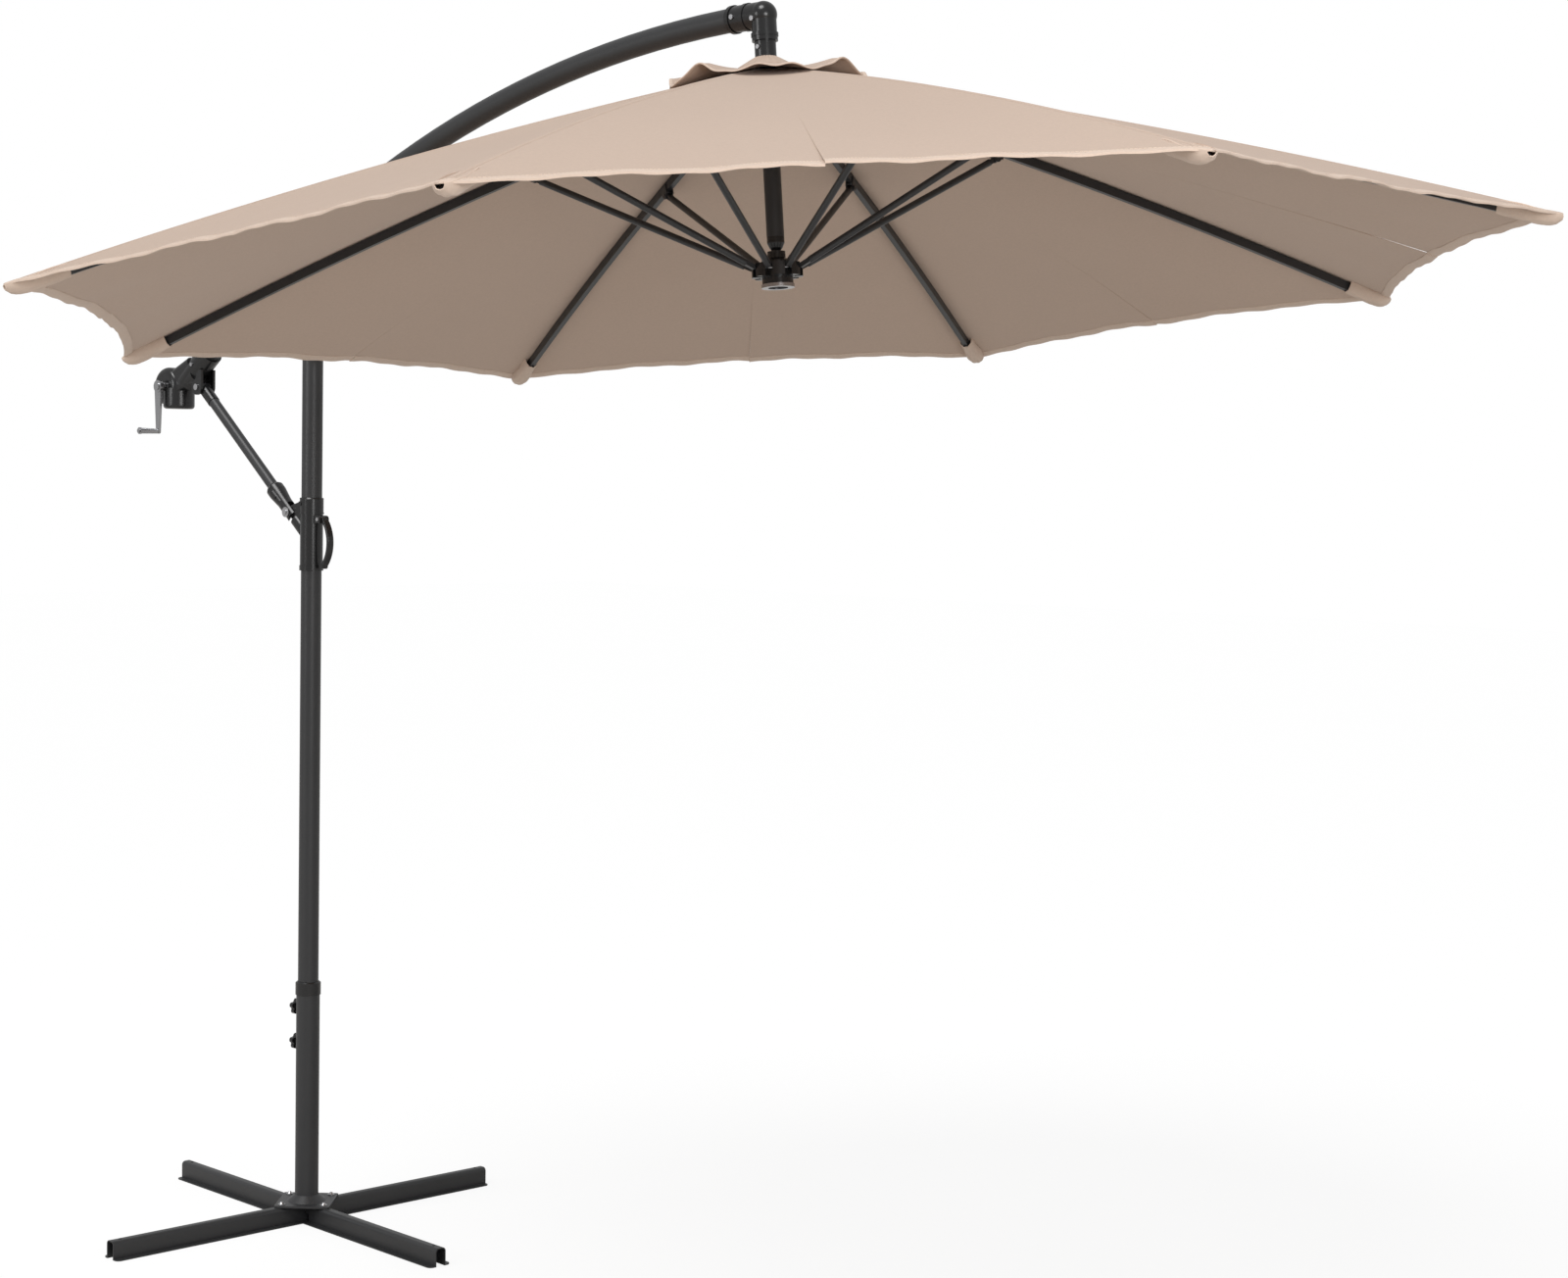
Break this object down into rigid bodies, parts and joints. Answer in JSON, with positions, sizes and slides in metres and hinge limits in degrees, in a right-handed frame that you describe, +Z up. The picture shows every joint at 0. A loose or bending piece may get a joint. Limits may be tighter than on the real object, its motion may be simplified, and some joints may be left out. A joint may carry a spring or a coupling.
{
  "type": "cantilever parasol",
  "caption": "Cantilever parasol: canopy hung from a curved arm on an offset pole, with tilt slider, crank winder, folding ribs and struts, and bolted cross base.",
  "frame": {"origin": "on the ground, at the middle of the cross base and on the pole's axis", "axes": "+Z up along the pole; +X from the pole towards the middle of the canopy; the arm lies in the XZ plane"},
  "size_m": [3.4162, 2.7688, 2.7158],
  "materials": {
    "powder_coat": "satin charcoal powder coat",
    "black_plastic": "glossy black moulding",
    "inner_plastic": "matte dark grey",
    "zinc_hardware": "zinc plated",
    "bright_metal": "polished",
    "canopy_cloth": "woven sand-coloured cloth",
    "hoist_cord": "braided cord"
  },
  "bodies": {
    "base": {"leg_a": "powder_coat", "leg_b": "powder_coat", "base_post": "powder_coat", "flange_bolts": "zinc_hardware", "post_collar": "black_plastic"},
    "knob_upper": {"knob_upper": "black_plastic"},
    "knob_lower": {"knob_lower": "black_plastic"},
    "pole": {"pole_tube": "powder_coat", "pole_head": "black_plastic", "head_pin": "zinc_hardware"},
    "slider": {"slider_body": "black_plastic", "slider_bushes": "inner_plastic", "lever_pin": "zinc_hardware", "link_pin": "zinc_hardware"},
    "lever": {"slider_lever": "black_plastic"},
    "link": {"link_tube": "powder_coat", "link_socket": "black_plastic", "link_eye": "black_plastic"},
    "arm": {"arm_tube": "powder_coat", "arm_saddle": "black_plastic", "saddle_screws": "zinc_hardware", "winder_shell_near": "black_plastic", "winder_shell_far": "black_plastic", "winder_screws": "zinc_hardware", "arm_link_pin": "zinc_hardware", "arm_cord": "hoist_cord", "elbow_shell": "black_plastic", "elbow_screws": "zinc_hardware", "pulley_pin": "zinc_hardware", "mast_tube": "powder_coat", "mast_plug": "black_plastic", "crown_hub": "black_plastic", "crown_pins": "zinc_hardware", "canopy": "canopy_cloth", "vent_cap": "canopy_cloth"},
    "pulley": {"cord_pulley": "inner_plastic"},
    "crank": {"cord_spool": "inner_plastic", "crank_shaft": "zinc_hardware", "crank_handle": "bright_metal"},
    "grip": {"crank_grip": "bright_metal"},
    "runner": {"runner_hub": "black_plastic", "runner_ring": "bright_metal", "mast_cord": "hoist_cord"},
    "rib_1": {"rib_1": "powder_coat"},
    "rib_2": {"rib_2": "powder_coat"},
    "rib_3": {"rib_3": "powder_coat"},
    "rib_4": {"rib_4": "powder_coat"},
    "rib_5": {"rib_5": "powder_coat"},
    "rib_6": {"rib_6": "powder_coat"},
    "rib_7": {"rib_7": "powder_coat"},
    "rib_8": {"rib_8": "powder_coat"},
    "strut_1": {"strut_1": "powder_coat"},
    "strut_2": {"strut_2": "powder_coat"},
    "strut_3": {"strut_3": "powder_coat"},
    "strut_4": {"strut_4": "powder_coat"},
    "strut_5": {"strut_5": "powder_coat"},
    "strut_6": {"strut_6": "powder_coat"},
    "strut_7": {"strut_7": "powder_coat"},
    "strut_8": {"strut_8": "powder_coat"}
  },
  "joints": [
    {"name": "knob_upper_turn", "type": "hinge", "parent": "base", "child": "knob_upper", "pos_m": [-0.04, 0, 0.504], "axis": [-1, 0, 0], "range_deg": [-180, 180]},
    {"name": "knob_lower_turn", "type": "hinge", "parent": "base", "child": "knob_lower", "pos_m": [-0.04, 0, 0.421], "axis": [-1, 0, 0], "range_deg": [-180, 180]},
    {"name": "pole_swivel", "type": "hinge", "parent": "base", "child": "pole", "pos_m": [0, 0, 0.3], "axis": [0, 0, 1], "continuous": true},
    {"name": "slider_lift", "type": "slide", "parent": "pole", "child": "slider", "axis": [0, 0, 1], "range_m": [-0.04, 0.2]},
    {"name": "lever_release", "type": "hinge", "parent": "slider", "child": "lever", "pos_m": [0.038, 0, 1.66], "axis": [0, -1, 0], "range_deg": [0, 28]},
    {"name": "arm_tilt", "type": "hinge", "parent": "pole", "child": "arm", "pos_m": [0, 0, 2.262], "axis": [0, 1, 0], "range_deg": [-2.99, 14.53]},
    {"name": "link_swing", "type": "hinge", "parent": "arm", "child": "link", "pos_m": [-0.42, 0, 1.972], "axis": [0, 1, 0], "range_deg": [-28.11, 5.7]},
    {"name": "runner_drop", "type": "slide", "parent": "arm", "child": "runner", "axis": [0.0938, 0, -0.9956], "range_m": [0, 0.64592], "deforming": ["canopy", "vent_cap", "mast_cord"]},
    {"name": "rib_1_fold", "type": "hinge", "parent": "arm", "child": "rib_1", "pos_m": [1.45124, 0.01454, 2.5645], "axis": [-0.381, 0.9239, -0.0359], "range_deg": [0, 69.43]},
    {"name": "strut_1_fold", "type": "hinge", "parent": "rib_1", "child": "strut_1", "pos_m": [1.90352, 0.19716, 2.46402], "axis": [-0.381, 0.9239, -0.0359], "range_deg": [-129.54, 0]},
    {"name": "rib_2_fold", "type": "hinge", "parent": "arm", "child": "rib_2", "pos_m": [1.43076, 0.03511, 2.56257], "axis": [-0.9198, 0.3827, -0.0866], "range_deg": [0, 69.43]},
    {"name": "strut_2_fold", "type": "hinge", "parent": "rib_2", "child": "strut_2", "pos_m": [1.62593, 0.47598, 2.43788], "axis": [-0.9198, 0.3827, -0.0866], "range_deg": [-129.54, 0]},
    {"name": "rib_3_fold", "type": "hinge", "parent": "arm", "child": "rib_3", "pos_m": [1.4018, 0.03511, 2.55984], "axis": [-0.9198, -0.3827, -0.0866], "range_deg": [0, 69.43]},
    {"name": "strut_3_fold", "type": "hinge", "parent": "rib_3", "child": "strut_3", "pos_m": [1.23335, 0.47598, 2.40091], "axis": [-0.9198, -0.3827, -0.0866], "range_deg": [-129.54, 0]},
    {"name": "rib_4_fold", "type": "hinge", "parent": "arm", "child": "rib_4", "pos_m": [1.38133, 0.01454, 2.55791], "axis": [-0.381, -0.9239, -0.0359], "range_deg": [0, 69.43]},
    {"name": "strut_4_fold", "type": "hinge", "parent": "rib_4", "child": "strut_4", "pos_m": [0.95576, 0.19716, 2.37477], "axis": [-0.381, -0.9239, -0.0359], "range_deg": [-129.54, 0]},
    {"name": "rib_5_fold", "type": "hinge", "parent": "arm", "child": "rib_5", "pos_m": [1.38133, -0.01454, 2.55791], "axis": [0.381, -0.9239, 0.0359], "range_deg": [0, 69.43]},
    {"name": "strut_5_fold", "type": "hinge", "parent": "rib_5", "child": "strut_5", "pos_m": [0.95576, -0.19716, 2.37477], "axis": [0.381, -0.9239, 0.0359], "range_deg": [-129.54, 0]},
    {"name": "rib_6_fold", "type": "hinge", "parent": "arm", "child": "rib_6", "pos_m": [1.4018, -0.03511, 2.55984], "axis": [0.9198, -0.3827, 0.0866], "range_deg": [0, 69.43]},
    {"name": "strut_6_fold", "type": "hinge", "parent": "rib_6", "child": "strut_6", "pos_m": [1.23335, -0.47598, 2.40091], "axis": [0.9198, -0.3827, 0.0866], "range_deg": [-129.54, 0]},
    {"name": "rib_7_fold", "type": "hinge", "parent": "arm", "child": "rib_7", "pos_m": [1.43076, -0.03511, 2.56257], "axis": [0.9198, 0.3827, 0.0866], "range_deg": [0, 69.43]},
    {"name": "strut_7_fold", "type": "hinge", "parent": "rib_7", "child": "strut_7", "pos_m": [1.62593, -0.47598, 2.43788], "axis": [0.9198, 0.3827, 0.0866], "range_deg": [-129.54, 0]},
    {"name": "rib_8_fold", "type": "hinge", "parent": "arm", "child": "rib_8", "pos_m": [1.45124, -0.01454, 2.5645], "axis": [0.381, 0.9239, 0.0359], "range_deg": [0, 69.43]},
    {"name": "strut_8_fold", "type": "hinge", "parent": "rib_8", "child": "strut_8", "pos_m": [1.90352, -0.19716, 2.46402], "axis": [0.381, 0.9239, 0.0359], "range_deg": [-129.54, 0]},
    {"name": "crank_turn", "type": "hinge", "parent": "arm", "child": "crank", "pos_m": [-0.535, 0, 1.974], "axis": [0, -1, 0], "range_deg": [0, 2115.8]},
    {"name": "grip_spin", "type": "hinge", "parent": "crank", "child": "grip", "pos_m": [-0.535, -0.08, 1.864], "axis": [0, 1, 0], "continuous": true},
    {"name": "pulley_turn", "type": "hinge", "parent": "arm", "child": "pulley", "pos_m": [1.3958, 0, 2.67948], "axis": [0, 1, 0], "range_deg": [0, 4113.1]}
  ],
  "couplings": [
    {"joint": "arm_tilt", "follows": "slider_lift", "rad_per_m": 1.2595},
    {"joint": "link_swing", "follows": "slider_lift", "rad_per_m": -2.4441},
    {"joint": "rib_1_fold", "follows": "runner_drop", "rad_per_m": 1.8747},
    {"joint": "strut_1_fold", "follows": "runner_drop", "rad_per_m": -3.4988},
    {"joint": "rib_2_fold", "follows": "runner_drop", "rad_per_m": 1.8747},
    {"joint": "strut_2_fold", "follows": "runner_drop", "rad_per_m": -3.4988},
    {"joint": "rib_3_fold", "follows": "runner_drop", "rad_per_m": 1.8747},
    {"joint": "strut_3_fold", "follows": "runner_drop", "rad_per_m": -3.4988},
    {"joint": "rib_4_fold", "follows": "runner_drop", "rad_per_m": 1.8747},
    {"joint": "strut_4_fold", "follows": "runner_drop", "rad_per_m": -3.4988},
    {"joint": "rib_5_fold", "follows": "runner_drop", "rad_per_m": 1.8747},
    {"joint": "strut_5_fold", "follows": "runner_drop", "rad_per_m": -3.4988},
    {"joint": "rib_6_fold", "follows": "runner_drop", "rad_per_m": 1.8747},
    {"joint": "strut_6_fold", "follows": "runner_drop", "rad_per_m": -3.4988},
    {"joint": "rib_7_fold", "follows": "runner_drop", "rad_per_m": 1.8747},
    {"joint": "strut_7_fold", "follows": "runner_drop", "rad_per_m": -3.4988},
    {"joint": "rib_8_fold", "follows": "runner_drop", "rad_per_m": 1.8747},
    {"joint": "strut_8_fold", "follows": "runner_drop", "rad_per_m": -3.4988},
    {"joint": "crank_turn", "follows": "runner_drop", "rad_per_m": 57.143},
    {"joint": "pulley_turn", "follows": "runner_drop", "rad_per_m": 111.11}
  ]
}
